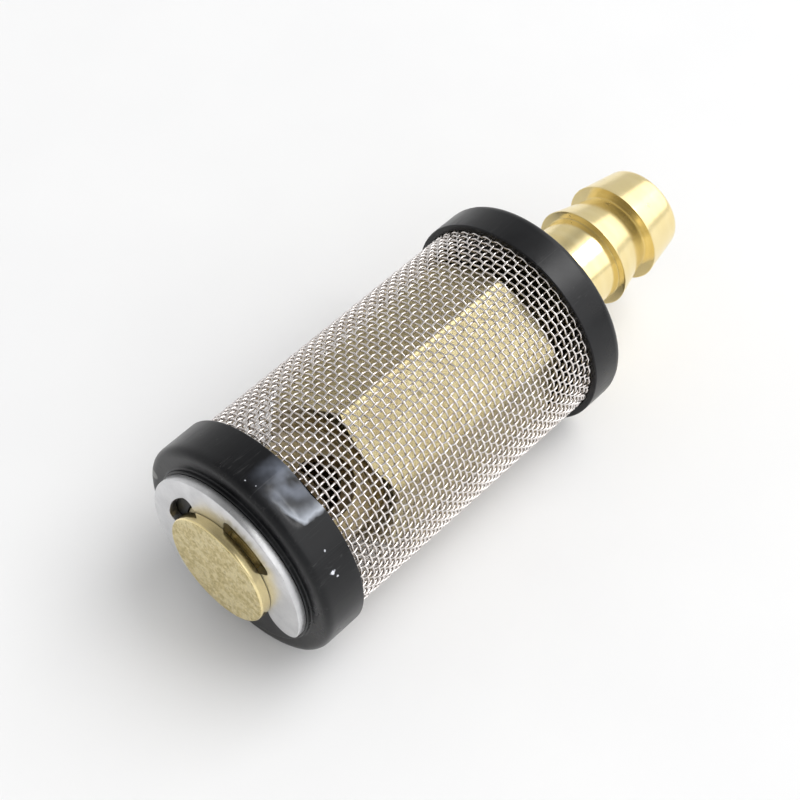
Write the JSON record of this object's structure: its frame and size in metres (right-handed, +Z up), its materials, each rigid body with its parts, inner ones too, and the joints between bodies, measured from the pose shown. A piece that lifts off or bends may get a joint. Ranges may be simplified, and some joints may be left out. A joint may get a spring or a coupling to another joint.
{
  "type": "suction strainer with check valve",
  "caption": "Cylindrical suction strainer for a liquid hose: woven wire screen between black end caps round a brass hex check-valve body, with a barbed hose tail.",
  "frame": {"origin": "centre of the footprint, on the surface that the strainer lies on", "axes": "+X along the strainer's axis towards the hose tail, +Z up, the strainer lying on the rims of its two caps"},
  "size_m": [0.0666, 0.025, 0.025],
  "materials": {
    "tail_brass": "bright turned brass with fine turning marks",
    "body_brass": "turned and milled brass, slightly dull on the end disc",
    "cap_black": "moulded black plastic, satin, with scuffs and a gate scar",
    "screen_wire": "plain woven stainless wire",
    "ring_steel": "pressed spring steel, zinc plated, satin",
    "ball_steel": "polished stainless steel",
    "spring_wire": "drawn stainless wire",
    "washer_rubber": "dark nitrile rubber"
  },
  "bodies": {
    "strainer": {"hose_tail": "tail_brass", "collar_washer": "washer_rubber", "top_cap": "cap_black", "valve_body": "body_brass", "valve_spring": "spring_wire", "screen_cloth": "screen_wire", "bottom_cap": "cap_black", "retaining_ring": "ring_steel"},
    "ball": {"check_ball": "ball_steel"}
  },
  "joints": [
    {"name": "valve_lift", "type": "slide", "parent": "strainer", "child": "ball", "axis": [1, 0, 0], "range_m": [0, 0.0045], "stiffness_N_per_m": 80, "springref_m": -0.002, "deforming": ["valve_spring"]}
  ]
}
